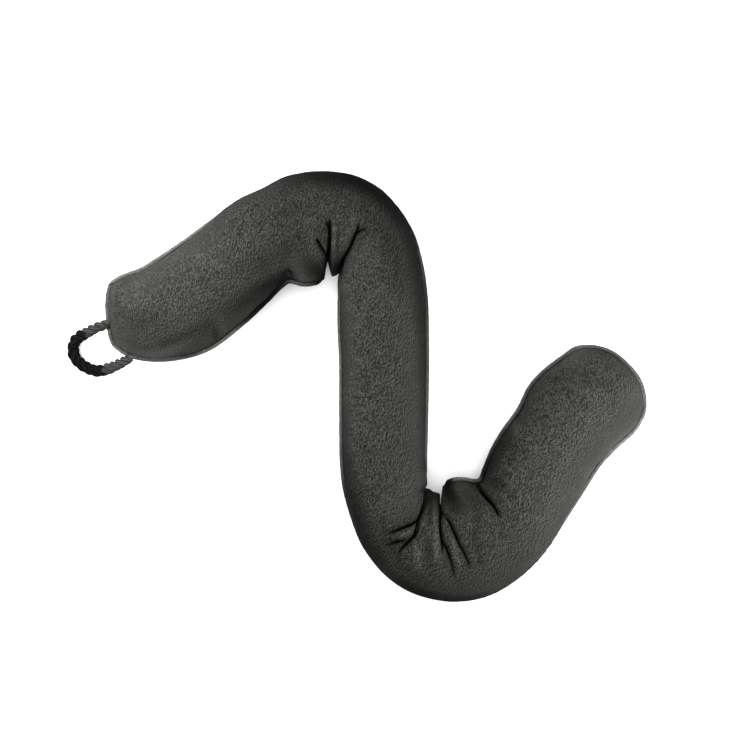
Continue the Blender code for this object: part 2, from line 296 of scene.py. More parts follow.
def markOf(tree, name):
    return put(tree, "ShaderNodeAttribute", {"attribute_name": name})["Fac"]


# what a mark leaves of the colour
def leftBy(tree, name, strength=1.0):
    return mathOf(tree, "SUBTRACT", 1.0, mathOf(tree, "MULTIPLY", markOf(tree, name), strength))


def mixed(tree, blend, share, first, second):
    settings = {"data_type": "RGBA", "blend_type": blend}
    return put(tree, "ShaderNodeMix", settings, i0=share, i6=first, i7=second)[2]


def finishWith(tree, shader, colour, height, bump):
    tree.links.new(colour, shader.inputs["Base Color"])
    tree.links.new(put(tree, "ShaderNodeBump", None, Height=height, **bump)[0], shader.inputs["Normal"])


# grey yarn at the roots, black yarn in the middle of the loop
def twoToneYarn():
    look = rope["look"]
    finish, tree, shader = newFinish("twoToneYarn", look["roughness"], look["specular"])
    place = put(tree, "ShaderNodeTexCoord")["Object"]
    lint = grains(tree, place, **look["lint"])
    ragged = mathOf(tree, "ADD", markOf(tree, "along"), mathOf(tree, "MULTIPLY", lint, look["ragged"]))
    first, last = rope["dyed"]
    begins = mathOf(tree, "GREATER_THAN", ragged, first + look["ragged"] / 2)
    ends = mathOf(tree, "LESS_THAN", ragged, last + look["ragged"] / 2)
    dyed = mathOf(tree, "MULTIPLY", begins, ends)
    # painted highlight on the yarns' tops and painted shade between them, mixed with the lint's own tone
    fromCrest = mathOf(tree, "MULTIPLY", markOf(tree, "crest"), look["crestShare"])
    fromLint = mathOf(tree, "MULTIPLY", lint, 1 - look["crestShare"])
    crestLightAndLint = mathOf(tree, "ADD", fromCrest, fromLint)
    grey, black = ramp(tree, crestLightAndLint, look["grey"]), ramp(tree, crestLightAndLint, look["black"])
    finishWith(tree, shader, mixed(tree, "MIX", dyed, grey, black), lint, look["bump"])
    return finish


makeRope()

# the filled cover; its strokes and spots are places in plan, in millimetres
cover = {
    # cross-sections from the loop's end to the far end, with their height, the bulge towards the tube's
    # end and how many degrees the seam is turned under on the left and the right
    "sections": [  # left x y, right x y, crown, bulge, left roll, right roll
        (-263, 105, -259, 38, 66, 4, 0, 0),
        (-258, 109, -252, 32.5, 67, 4, 0, 0),
        (-249.5, 113, -242, 27.3, 67, 3, 0, 0),
        (-235.4, 118, -226, 24.3, 68, 2, 0, 0),
        (-217.3, 128.8, -201, 25, 68, 0, 0, 0),
        (-192.3, 145.8, -167.6, 34.2, 67, 0, -5, 0),
        (-165.4, 165.8, -134.4, 58.4, 68, 0, -20, 3),
        (-135.3, 187.6, -109, 82, 69, 0, -32, 5),
        (-111.3, 198.7, -94, 97, 70, 0, -35, 8),
        (-90.5, 209.3, -83, 102, 71, 0, -35, 8),
        (-70.1, 213.8, -70, 99, 72, 0, -35, 8),
        (-57, 214.9, -55.4, 102, 72, 0, -35, -8),
        (-41.9, 214.5, -48, 107, 72, 0, -35, -30),
        (-14.3, 208.5, -38, 110, 72, 0, -35, -32),
        (4, 198.3, -36, 109, 72, 0, -35, -32),
        (21.8, 180.6, -36, 102, 73, 0, -32, -30),
        (37, 157.4, -36, 91, 74, 0, -25, -22),
        (46.6, 128.4, -37, 74, 75, 0, -18, -14),
        (52, 96, -37, 52, 76, 0, -12, -10),
        (54, 51, -36, 24, 76, 0, -10, -8),
        (54, 1, -36, -9, 76, 0, -8, -8),
        (53, -44, -36, -44, 76, 0, -12, -5),
        (52, -76, -35, -82, 75, 0, -22, -5),
        (52, -91, -32, -105.3, 75, 0, -32, -8),
        (53, -100, -24.9, -130.7, 74, 0, -34, -20),
        (56, -104, -14, -158.2, 73, 0, -34, -30),
        (60, -106, 12.6, -191.6, 73, 0, -34, -35),
        (66, -106, 42.2, -209.1, 73, 0, -34, -35),
        (68.6, -97.8, 67, -215.1, 73, 0, -20, -35),
        (76, -92.2, 87.2, -215.6, 73, 0, 8, -35),
        (86, -91, 115.2, -209.5, 72, 0, 8, -35),
        (96.4, -92.8, 142, -194, 71, 0, 4, -35),
        (103.6, -90.6, 163, -175, 71, 0, 2, -33),
        (109, -79, 179, -154, 70, 0, 5, -28),
        (116, -62, 193, -132, 69, 0, 6, -18),
        (127, -43, 209, -107, 69, 0, 3, -6),
        (142, -22, 227, -79, 68, 0, 0, 0),
        (155, 3, 245.6, -59.6, 69, 1, 0, 0),
        (171, 19, 260, -47, 69, 4, 0, 0),
        (186.8, 30.6, 267, -36.6, 68, 8, 0, 0),
        (199.6, 39, 270.4, -27, 67, 12, 0, 0),
        (209, 40, 271, -20, 66, 14, 0, 0),
    ],
    "seamHeight": 30,
    "seamDrop": 7,  # lower at the two ends
    "pressedIn": 5,  # how much of its underside the floor presses flat
    "endRise": 50,  # from an end seam to the full height
    "endRoundness": 2.3,
    "sideRoundness": 2.4,
    "bowRoundness": 2.6,
    "endHalfThickness": 2,
    "overEdging": 1.3,  # how far the fleece bulges over the edging
    "overEdgingTurn": 6,  # how close to the seam that begins
    "rows": 770,
    "trialRows": 2400,  # by which their spacing is worked out
    "topColumns": 108,
    "undersideColumns": 20,
    "gathered": [(-40, 150), (70, -150)],  # the middles of the two bends, where rows stand closer
    "gatheredReach": 45,
    "gatheredMore": 0.8,
    "outerStep": 0.85,  # how much the longer way round the outside counts in their spacing
    # where the inside of a bend is drawn in: side, x, y, depth, reach before and after along the tube
    "pinches": [
        ("right", -87, 102, 1, 5, 5),
        ("right", -48.2, 106, 18, 2, 5.6),
        ("right", -36, 110, 3, 4, 4),
        ("left", 53, -101, 3, 3, 2.5),
        ("left", 67.6, -102, 17, 6, 1.5),
        ("left", 103, -91, 1, 7, 7),
    ],
    "pinchTurn": 1.5,  # how soon a pinch fades, along the tube and across it
    # folds over the top: x, y, depth and half width along each
    "folds": [
        [(-90.5, 111, 5, 1.9), (-86.5, 112.8, 9, 2.3), (-83.5, 110, 6, 1.8)],
        [(-48.7, 124, 7, 2.2), (-51, 130, 8, 2.2), (-54.5, 137, 8, 2), (-57.5, 143, 7, 2.3),
         (-58.3, 145.5, 2, 1.8)],
        [(-48.5, 124, 8, 2.4), (-46, 130.3, 9, 2.4), (-45, 146.5, 10, 2.4), (-44.8, 157, 9, 2.6),
         (-44.5, 165, 4, 2)],
        [(-45, 155, 8, 2.4), (-46.4, 159, 7, 2.2), (-48, 163, 3, 2)],
        [(-36, 112, 10, 3.2), (-34.8, 117, 10, 2.8), (-31, 125, 10, 2.5), (-26, 134, 10, 2.4),
         (-20.6, 146.5, 9, 2.4), (-18, 153, 7, 2.2), (-15.8, 160.5, 3, 2)],
        [(-19.5, 150, 8, 2.2), (-13.4, 155, 8, 2.1), (-9, 156.4, 4, 2)],
        [(53.5, -104, 9, 3), (52.2, -111, 10, 2.8), (49, -120, 10, 2.6), (45, -129, 10, 2.5),
         (41.5, -140, 9, 2.3), (38.6, -149, 8, 2.2), (34, -154.3, 8, 2.3), (28, -160, 7, 2.1),
         (23, -165.5, 3, 2)],
        [(44.5, -130, 8, 2.3), (38, -135.5, 8, 2.3), (31, -139.3, 8, 2.3), (22, -143, 7, 2.2),
         (13, -147, 3, 2)],
        [(45, -136, 5, 1.8), (43, -143, 5, 1.8), (38, -151, 6, 2.2)],
        [(39.5, -148.5, 8, 2.3), (36.5, -151.5, 9, 2.6), (32, -154.5, 5, 2.2)],
        [(32, -153, 3, 2), (22, -155.4, 6, 2.2), (10, -159, 3, 2)],
        [(66.6, -114, 9, 2.5), (66.4, -122, 10, 2.4), (65.1, -131, 10, 2.4), (65.1, -143, 10, 2.4),
         (66.4, -153, 9, 3), (66.5, -161, 5, 2.4), (66.5, -167, 2, 2)],
        [(66.4, -153, 9, 2.6), (71, -161.5, 9, 2.6), (75, -174, 8, 2.2), (77, -183, 5, 2),
         (78, -190, 2, 2)],
        [(66.8, -119, 9, 2.6), (68.5, -123.5, 10, 2.6), (73.2, -131, 10, 2.5), (78.6, -143.4, 10, 2.4),
         (83.1, -155.8, 9, 2.3), (88.5, -167, 8, 2.2), (94, -179, 4, 2)],
        [(102.6, -98.5, 10, 2.4), (106.5, -103.6, 11, 3.2), (112.4, -110.8, 11, 3.3),
         (116.8, -117, 9, 2.6), (119.9, -122.6, 7, 2.3), (122.6, -128, 3, 2)],
    ],
    "foldTurn": 1.3,  # how hollow a fold's walls are
    "foldDip": 0.28,  # the soft dip round a fold, as a share of its depth
    "foldDipWidth": 3.5,  # and in half widths of the fold
    "foldDarkAt": 5,  # the depth from which a fold's painted shade is full
    "foldCore": 1.2,  # how wide its painted dark middle is, and how soon that fades
    "foldCoreTurn": 1.6,
    "foldShade": 0.34,  # the painted shade beside a fold
    "foldShadeWidth": 2.8,
    # wide, shallow forms in the top: x, y, depth (a swelling if under 0) and radius
    "hollows": [
        (-154, 67, 2.5, 18),
        (-122, 80, 2.5, 16),
        (135, -57, 2.5, 16),
        (148, -31, 2.5, 18),
        (-66, 122, -1.6, 13),
        (-38, 137, -1.4, 8),
        (-84, 130, 1.6, 12),
        (60, -130, -1.4, 8),
        (84, -118, -1.6, 14),
        (100, -136, 1.2, 12),
    ],
    # soft gathers that run on from the folds: x, y, depth and half width along each
    "gathers": [
        [(51, -134, 0.6, 6), (53, -159, 1.6, 7), (55, -182, 1.2, 7), (56, -199, 0, 7)],
        [(33, -160, 1.2, 6), (29, -175, 1.2, 7), (26, -190, 0, 7)],
        [(68, -170, 0.8, 5), (71, -184, 1.2, 6), (73, -200, 0, 6)],
        [(95, -154, 0.4, 6), (101, -170, 1.2, 8), (106, -190, 0, 8)],
        [(-38, 138, 0.8, 4), (-36, 150, 1.6, 6), (-34, 164, 0.6, 7), (-32, 178, 0, 7)],
        [(-51, 146, 0.8, 4), (-52, 160, 1.3, 6), (-53, 178, 0, 7)],
        [(-64, 130, 0.8, 5), (-68, 146, 1.3, 6), (-72, 160, 0, 7)],
        [(-8, 150, 0.6, 6), (0, 166, 1.2, 8), (8, 180, 0, 8)],
    ],
    "gatherWidth": 0.6,  # in half widths
    "lumps": [(0.9, 42, 3.1), (0.5, 17, 9.7)],  # of the filling: height, wavelength and seed
    "nap": [(0.34, 3.4, 21.3), (0.2, 6.5, 5.9)],
    # shares of the height over the seam at which the top, the nap and the painted shade of the folds are
    # full
    "topFrom": 0.4,
    "napFrom": 0.12,
    "foldDarkFrom": 0.25,
    "endCalm": 12,  # near an end seam and near the floor the cloth is calm
    "floorCalm": 4,
    "puckers": {  # the short gathers that the sewing leaves beside the seam
        "height": 0.42,
        "apart": 11,
        "wander": [(1.7, 37), (0.9, 13.7)],  # how far and over what length their spacing wanders
        "comeAndGo": 61,  # over what length they come and go
        "comeAndGoShift": 1.1,
        "rightShift": 400,  # so that the two sides differ
        "at": 0.22,  # share of the height over the seam, and how far round that
        "spread": 0.16,
    },
    # painted shade (over 0) and painted light (under 0) on the pile, where the light falls less or more:
    # x, y, darkness and width along each
    "paintedLightAndShade": [
        # outer rim of the first bend, on along the middle's right side
        [(-105, 202, 0.1, 30), (-66, 214, 0.65, 34), (-45, 214, 0.75, 34), (-15, 208, 0.82, 32),
         (4, 197, 0.82, 32), (22, 180, 0.88, 34), (37, 157, 0.78, 32), (46, 128, 0.82, 34),
         (52, 96, 0.82, 34), (54, 50, 0.75, 30), (54, 0, 0.65, 24), (53, -44, 0.55, 20),
         (52, -80, 0.5, 16)],
        # the middle's left side, on along the outer rim of the second bend
        [(-37, 90, 0.4, 16), (-36, 50, 0.5, 20), (-36, -9, 0.5, 20), (-36, -44, 0.6, 24),
         (-35, -82, 0.8, 30), (-31, -105, 0.82, 32), (-23, -130, 0.82, 32), (-12, -157, 0.72, 28),
         (14, -190, 0.35, 16), (43, -209, 0.7, 18), (67, -215, 0.75, 15), (90, -215, 0.65, 12),
         (106, -211, 0.5, 10), (122, -205, 0.1, 10)],
        # inner side of the first arm
        [(-152, 70, 0.15, 20), (-130, 84, 0.45, 20), (-108, 99, 0.65, 22), (-92, 106, 0.8, 20)],
        [(-125, 118, 0.25, 28), (-112, 124, 0.38, 32), (-95, 138, 0.26, 30), (-78, 142, 0.28, 30),
         (-64, 146, 0.12, 30)],
        [(-112, 150, 0.15, 20), (-80, 172, 0.28, 22), (-66, 178, 0.12, 20)],
        [(-6, 176, 0.2, 26), (14, 148, 0.3, 28), (22, 120, 0.3, 28), (26, 96, 0.15, 20)],
        # the loop's end: dull in the middle, light along its lower seam
        [(-262, 90, 0.32, 26), (-255, 70, 0.38, 32), (-240, 62, 0.34, 36), (-222, 66, 0.18, 30)],
        [(-248, 102, 0.18, 14), (-241, 86, 0.18, 14)],
        [(-210, 42, 0.25, 12), (-184, 50, 0.4, 15), (-164, 62, 0.3, 14)],
        [(-159, 48, 0.5, 6), (-160, 58, 0.3, 6)],
        [(-151, 56, -0.3, 7), (-154, 68, -0.25, 8)],
        [(-256, 40, -0.4, 12), (-246, 32, -0.8, 13), (-230, 28, -0.95, 14), (-214, 30, -0.8, 14),
         (-198, 37, -0.5, 12), (-184, 46, -0.3, 10), (-172, 55, -0.1, 9)],
        # inner side of the far arm
        [(98, -95, 0.5, 10), (106, -90, 0.8, 18), (113, -76, 0.76, 25), (124, -56, 0.66, 30),
         (136, -34, 0.35, 24), (146, -12, 0.2, 20), (172, 4, 0.2, 18)],
        [(137, -61, 0.35, 14), (134, -74, 0.3, 14)],
        [(138, -34, -0.35, 8), (141, -44, -0.4, 8)],
        # outer side of the far arm, and its end
        [(203, -114, -0.1, 10), (215, -91, -0.45, 13), (233, -68, -0.45, 13), (250, -51, -0.45, 11),
         (262, -38, -0.3, 9)],
        [(150, -150, -0.1, 30), (178, -96, -0.12, 34), (202, -56, -0.12, 34), (222, -26, -0.1, 24)],
        [(178, -4, 0.12, 18), (192, 8, 0.2, 18), (214, 6, 0.25, 18), (234, 0, 0.25, 16)],
        [(193, 28, -0.3, 16), (208, 33, -0.45, 16), (222, 30, -0.2, 14)],
        # the first bend's lobe and its tongue
        [(-86, 102, 0.45, 7), (-70, 98, 0.05, 6), (-58, 100, 0.6, 8), (-52, 106, 0.95, 10),
         (-49, 114, 0.95, 10), (-49, 122, 0.8, 10)],
        [(-74, 130, 0.25, 14), (-62, 119, 0.5, 18), (-54, 113, 0.75, 18)],
        [(-81, 114, -0.2, 8), (-73, 107, -0.6, 9), (-66, 104, -0.3, 8)],
        [(-43, 128, 0.2, 8), (-40, 118, 0.4, 9), (-37, 112, 0.45, 8)],
        # the second bend's lobe and its tongue
        [(67, -96, 0.97, 10), (66, -104, 0.9, 12), (67, -112, 0.5, 10)],
        [(71, -98, 0.85, 16), (73, -106, 0.85, 20), (79, -114, 0.7, 20), (87, -122, 0.45, 18)],
        [(86, -104, 0.3, 12), (96, -113, 0.5, 16), (102, -126, 0.35, 14), (100, -150, 0.3, 12),
         (106, -176, 0.2, 12)],
        [(80, -92, -0.1, 7), (88, -93, -0.5, 9), (97, -94, -0.8, 8), (103, -94, -0.2, 7)],
        [(101, -94, 0.9, 4), (104, -100, 0.9, 5)],
        [(112, -92, 0.5, 11), (124, -96, 0.45, 14), (134, -106, 0.25, 14)],
        [(57, -104, 0.5, 9), (50, -104, 0.4, 8)],
        [(56, -112, 0.4, 6), (55, -126, 0.45, 6), (55, -138, 0.3, 6)],
        # light on the ridges between the folds, shade in the valleys beside them
        [(59, -122, -0.2, 6), (61, -140, -0.6, 7), (62, -160, -0.7, 8), (63, -180, 0, 8)],
        [(40, -152, -0.2, 6), (42, -166, -0.7, 8), (43, -184, -0.1, 8)],
        [(74, -144, -0.2, 6), (78, -158, -0.6, 8), (81, -171, -0.7, 9), (83, -188, 0, 8)],
        [(70, -150, -0.3, 5), (72, -158, -0.4, 5)],
        [(48, -137, -0.5, 6), (36, -143.5, -0.7, 6), (22, -148, -0.4, 7)],
        [(6, -140, 0.15, 14), (14, -158, 0.15, 14), (30, -180, 0.15, 16), (50, -196, 0.15, 14)],
        [(50, -136, 0.2, 8), (52, -160, 0.5, 10), (54, -187, 0.1, 9)],
        [(-43, 168, -0.1, 6), (-41, 157, -0.7, 7), (-41, 140, -0.4, 6)],
        [(-24, 166, -0.1, 7), (-26, 152, -0.5, 7), (-31, 140, -0.2, 7)],
        [(-62, 154, -0.1, 6), (-60, 142, -0.5, 7), (-58, 132, -0.2, 6)],
        [(-35, 160, 0.1, 6), (-37, 148, 0.45, 5), (-37, 134, 0.45, 5), (-38, 126, 0.2, 5)],
        [(-22, 178, -0.1, 8), (-21, 164, -0.4, 7), (-22, 153, -0.2, 5)],
    ],
    "strokeReach": 0.72,  # where a stroke has faded out, as a share of its width
    # where the pile lies flat and smooth: x, y and radius
    "smoothed": [
        (-16, 132, 24), (-66, 118, 20), (32, -120, 24), (86, -118, 22), (57, -120, 12), (-41, 130, 11),
        (-262, 74, 30), (-240, 89, 26), (-254, 44, 26), (-222, 110, 30), (-190, 134, 20), (-168, 144, 28),
        (262, -20, 26), (248, -44, 26), (228, -64, 22), (205, 36, 16),
    ],
    "smoothedBy": 0.45,  # how much flatter at the middle of such a place, and how soon that fades
    "smoothedFade": 1.6,
    # where the painted shade along the seam is faint: x, y and radius
    "faintSeam": [
        (-225, 118, 22), (-165, 160, 24), (-215, 28, 26), (-262, 84, 30), (192, -131, 22),
        (209, -107, 20), (235, -68, 16), (270, -6, 26), (200, 38, 14),
    ],
    "faintBy": 0.9,
    "faintFade": 1.4,
    "paintedSeamShade": {  # painted shade in the crease where the fleece meets the edging
        "inner": 0.8,  # on the inner side of the bends
        "outer": 0.7,
        "fullTo": 0.08,  # share of the height over the seam
        "goneAt": 0.22,
        "fromEnd": 10,
    },
    "look": {
        "roughness": 1.0,
        "specular": 0.02,
        "drawnOut": (1, 0.62, 1),  # the tufts are longer than wide
        "paintedLightFrom": (-0.0004, 0.00024, 0.0003),  # the side on which each tuft gets painted light, the other side painted shade
        "tufts": {"scale": 600, "detail": 0, "roughness": 0.5, "distortion": 0.9},
        "patches": {"scale": 26, "detail": 2, "roughness": 0.5, "distortion": 0.3},
        "patchy": 0.6,  # how much the patches raise and lay the pile
        "liesAt": (0.45, 0.22),  # pile no more upright than this shows this share of its tufts
        "standsAt": (0.95, 0.76),  # and pile no less upright than this
        "thick": 0.3,  # how much of a tuft's grey is its own thickness
        "lit": 2.7,  # and how much the painted light and shade on its two sides
        "waves": 0.22,  # and how much the patches change it
        "greys": [(0.2, 0.0064), (0.5, 0.016), (0.8, 0.033)],
        # how much of the colour the painted shade of the folds takes away
        "foldDark": 0.96,
        # how much of the colour the painted shade along the seam takes away
        "seamDark": 0.95,
        "bump": {"Strength": 1.0, "Distance": 0.0005},
    },
}

coverTable = np.array(cover["sections"], float)
coverKnots = travelled((coverTable[:, 0:2] + coverTable[:, 2:4]) / 2)

# the edging, for which the cover leaves room
pipingWide = 4.6
pipingThick = 3.4
pipingGap = 0.6  # between it and the cover


# how deep the pinches of one side draw its rows in
def pinchDepth(side, ends):
    depth = np.zeros(len(ends))
    for pinchSide, x, y, deepest, before, after in cover["pinches"]:
        if pinchSide == side:
            away = np.hypot(ends[:, 0] - x, ends[:, 1] - y)
            nearest = int(away.argmin())
            reach = np.where(np.arange(len(ends)) > nearest, after, before)
            closeness = np.clip(1 - (away - away[nearest]) / reach, 0, 1)
            depth = np.maximum(depth, deepest * closeness ** cover["pinchTurn"])
    return depth


# the room that the edging needs beside the cover, none where the seam is rolled under
def edgingRoom(ends, others, rolls):
    half = np.linalg.norm(others - ends, axis=1) / 2
    rolledIn = half * (1 - np.cos(rolls) ** (2 / cover["sideRoundness"]))
    return np.clip((pipingWide + pipingGap) * np.cos(rolls) - rolledIn, 0, None)


# all that shapes a row, at each place along the tube
def rowsAt(places):
    table = smoothAlong(coverKnots, coverTable, places)
    left, right = table[:, 0:2], table[:, 2:4]
    rolls = {"left": np.radians(table[:, 6]), "right": np.radians(table[:, 7])}
    leftRoom = edgingRoom(left, right, rolls["left"])
    rightRoom = edgingRoom(right, left, rolls["right"])
    across = unit(left - right)
    left, right = left - across * leftRoom[:, None], right + across * rightRoom[:, None]
    toEnd = np.minimum(places, coverKnots[-1] - places)
    missing = np.clip(1 - toEnd / cover["endRise"], 0, 1)
    rise = (1 - missing ** cover["endRoundness"]) ** (1 / cover["endRoundness"])
    return {
        "places": places,
        "toEnd": toEnd,
        "left": left,
        "right": right,
        "rolls": rolls,
        "leftPinch": pinchDepth("left", left),
        "rightPinch": pinchDepth("right", right),
        "middle": (left + right) / 2,
        "half": np.linalg.norm(left - right, axis=1) / 2,
        "across": across,
        "ahead": np.stack([across[:, 1], -across[:, 0]], axis=1),
        "outward": np.where(places < coverKnots[-1] / 2, -1.0, 1.0),
        "rise": rise,
        "seam": cover["seamHeight"] - cover["seamDrop"] * (1 - rise),
        "crown": table[:, 4],
        "bow": table[:, 5],
        "leftOver": cover["overEdging"] * leftRoom / (pipingWide + pipingGap),
        "rightOver": cover["overEdging"] * rightRoom / (pipingWide + pipingGap),
    }


# surface points before folds, at one angle per row or a grid of them; 0 is the left seam, pi the right
def plainSurface(rows, angles, overEdging=False):
    side, height = np.cos(angles), np.sin(angles)
    offset = np.sign(side) * np.abs(side) ** (2 / cover["sideRoundness"])
    pinch = np.where(offset > 0, rows["leftPinch"][:, None], -rows["rightPinch"][:, None])
    reach = rows["half"][:, None] * offset - pinch * np.abs(offset) ** cover["pinchTurn"]
    bulge = (rows["bow"] * rows["outward"])[:, None] * (1 - np.abs(offset) ** cover["bowRoundness"])
    if overEdging:
        over = np.where(offset > 0, rows["leftOver"][:, None], -rows["rightOver"][:, None])
        reach = reach + over * np.abs(offset) ** cover["overEdgingTurn"]
        bulge += (cover["overEdging"] * (1 - rows["rise"]) ** 2 * rows["outward"])[:, None]
    sideways = rows["across"][:, None] * reach[..., None]
    plan = rows["middle"][:, None] + sideways + rows["ahead"][:, None] * bulge[..., None]
    above = rows["crown"] - rows["seam"] - cover["endHalfThickness"]
    below = rows["seam"] + cover["pressedIn"] - cover["endHalfThickness"]
    full = np.where(height >= 0, above[:, None], below[:, None])
    z = rows["seam"][:, None] + (cover["endHalfThickness"] + full * rows["rise"][:, None]) * height
    return np.concatenate([plan, np.maximum(z, 0)[..., None]], axis=-1)


# distance in plan to a fold's line, with the depth and half width at the nearest place, if it has them
def nearFold(plan, fold):
    corners = np.array([(*corner, 0, 1)[:4] for corner in fold], float)
    best = np.full(plan.shape[:-1], np.inf)
    depth, width = np.zeros_like(best), np.ones_like(best)
    for start, end in zip(corners[:-1], corners[1:]):
        run = end[:2] - start[:2]
        share = np.clip(((plan - start[:2]) @ run) / (run @ run), 0, 1)
        away = np.linalg.norm(plan - start[:2] - share[..., None] * run, axis=-1)
        closer = away < best
        best = np.where(closer, away, best)
        depth = np.where(closer, start[2] + (end[2] - start[2]) * share, depth)
        width = np.where(closer, start[3] + (end[3] - start[3]) * share, width)
    return best, depth, width


# 1 everywhere, less by a share on the spots, which fade out round their middles
def lessOnSpots(plan, spots, share, fade):
    left = np.ones(plan.shape[:-1])
    for x, y, radius in spots:
        away = np.hypot(plan[..., 0] - x, plan[..., 1] - y) / radius
        left = np.minimum(left, 1 - share * np.exp(-fade * away**2))
    return left


# how upright the pile stands, less on the smoothed places
def standingAt(plan):
    return lessOnSpots(plan, cover["smoothed"], cover["smoothedBy"], cover["smoothedFade"])


# how clear the painted shade along the seam is
def clearAt(plan):
    return lessOnSpots(plan, cover["faintSeam"], cover["faintBy"], cover["faintFade"])


# how much painted shade the strokes lay on the pile, or painted light where under 0; a firmness over 1
# keeps more of a stroke at its full strength
def paintedLightAndShadeAt(plan, strokes, firmness=1.0):
    darker, lighter = np.zeros(plan.shape[:-1]), np.zeros(plan.shape[:-1])
    for stroke in strokes:
        away, darkness, width = nearFold(plan, stroke)
        fade = 1 - (away / (cover["strokeReach"] * width)) ** 2
        change = darkness * np.clip(firmness * fade, 0, 1) ** 2
        darker, lighter = np.maximum(darker, change), np.minimum(lighter, change)
    return darker + lighter


# how far the top is drawn in, and how much painted shade lies in and beside the folds
def reliefOf(plan):
    sharp = np.zeros(plan.shape[:-1])
    soft, dark, wide = np.zeros_like(sharp), np.zeros_like(sharp), np.zeros_like(sharp)
    for fold in cover["folds"]:
        away, depth, width = nearFold(plan, fold)
        closeness = 1 - away / width
        dip = cover["foldDip"] * depth * np.exp(-((away / (cover["foldDipWidth"] * width)) ** 2))
        core = np.clip(cover["foldCore"] * closeness, 0, 1) ** cover["foldCoreTurn"]
        beside = cover["foldShade"] * np.exp(-((away / (cover["foldShadeWidth"] * width)) ** 2))
        sharp = np.maximum(sharp, depth * np.clip(closeness, 0, 1) ** cover["foldTurn"])
        soft = np.maximum(soft, dip)
        dark = np.maximum(dark, np.clip(depth / cover["foldDarkAt"], 0, 1) * np.maximum(core, beside))
    for x, y, depth, radius in cover["hollows"]:
        away = np.hypot(plan[..., 0] - x, plan[..., 1] - y) / radius
        wide += depth * np.clip(1 - away**2, 0, None) ** 2
    for gather in cover["gathers"]:
        away, depth, width = nearFold(plan, gather)
        wide += depth * np.exp(-((away / (cover["gatherWidth"] * width)) ** 2))
    return sharp + soft + wide, dark


# layers of noise at every point, each with its height, its wavelength in millimetres and its seed
def roughnessAt(points, layers):
    total = 0
    for height, wavelength, seed in layers:
        flat = (points.reshape(-1, 3) / wavelength + seed).tolist()
        total += height * np.array([noise.noise(Vector(point)) for point in flat])
    return total.reshape(points.shape[:-1])


# rows as near as they can be to evenly spaced along the middle and the outside of the bends
def evenPlaces():
    fine = np.linspace(0, coverKnots[-1], cover["trialRows"])
    rows = rowsAt(fine)
    step = np.linalg.norm(np.diff(rows["middle"], axis=0), axis=1)
    for side in ("left", "right"):
        step = np.maximum(step, cover["outerStep"] * np.linalg.norm(np.diff(rows[side], axis=0), axis=1))
    for x, y in cover["gathered"]:
        away = np.hypot(rows["middle"][1:, 0] - x, rows["middle"][1:, 1] - y)
        step *= 1 + cover["gatheredMore"] * np.exp(-((away / cover["gatheredReach"]) ** 2))
    cost = np.concatenate([[0], np.cumsum(step)])
    return np.interp(np.linspace(0, cost[-1], cover["rows"]), cost, fine)


# painted shade in the crease where the fleece meets the edging, lost at the two ends
def paintedSeamShade(rows, angles, grid):
    line = cover["paintedSeamShade"]
    height, side = np.sin(angles), np.cos(angles)
    room = np.where(side > 0, rows["leftOver"][:, None], rows["rightOver"][:, None]) / cover["overEdging"]
    fade = 1 - between(height, line["fullTo"], line["goneAt"])
    awayFromEnd = np.clip(rows["toEnd"][:, None] / line["fromEnd"], 0, 1)
    inner = (side > 0) == (rows["outward"][:, None] > 0)
    strength = np.where(inner, line["inner"], line["outer"])
    return room * fade * awayFromEnd * (height >= 0) * strength * clearAt(grid[..., :2])


# short gathers that the sewing leaves beside the seam
def seamPuckers(rows, angles):
    pucker = cover["puckers"]
    leftRun = travelled(rows["left"])[:, None]
    rightRun = travelled(rows["right"])[:, None]
    run = np.where(np.cos(angles) > 0, leftRun, rightRun + pucker["rightShift"])
    phase = run / pucker["apart"] * 2 * math.pi
    for far, length in pucker["wander"]:
        phase = phase + far * np.sin(run / length)
    strength = 0.5 + 0.5 * np.sin(run / pucker["comeAndGo"] + pucker["comeAndGoShift"])
    fade = np.exp(-(((np.abs(np.sin(angles)) - pucker["at"]) / pucker["spread"]) ** 2))
    return pucker["height"] * np.sin(phase) * strength * fade


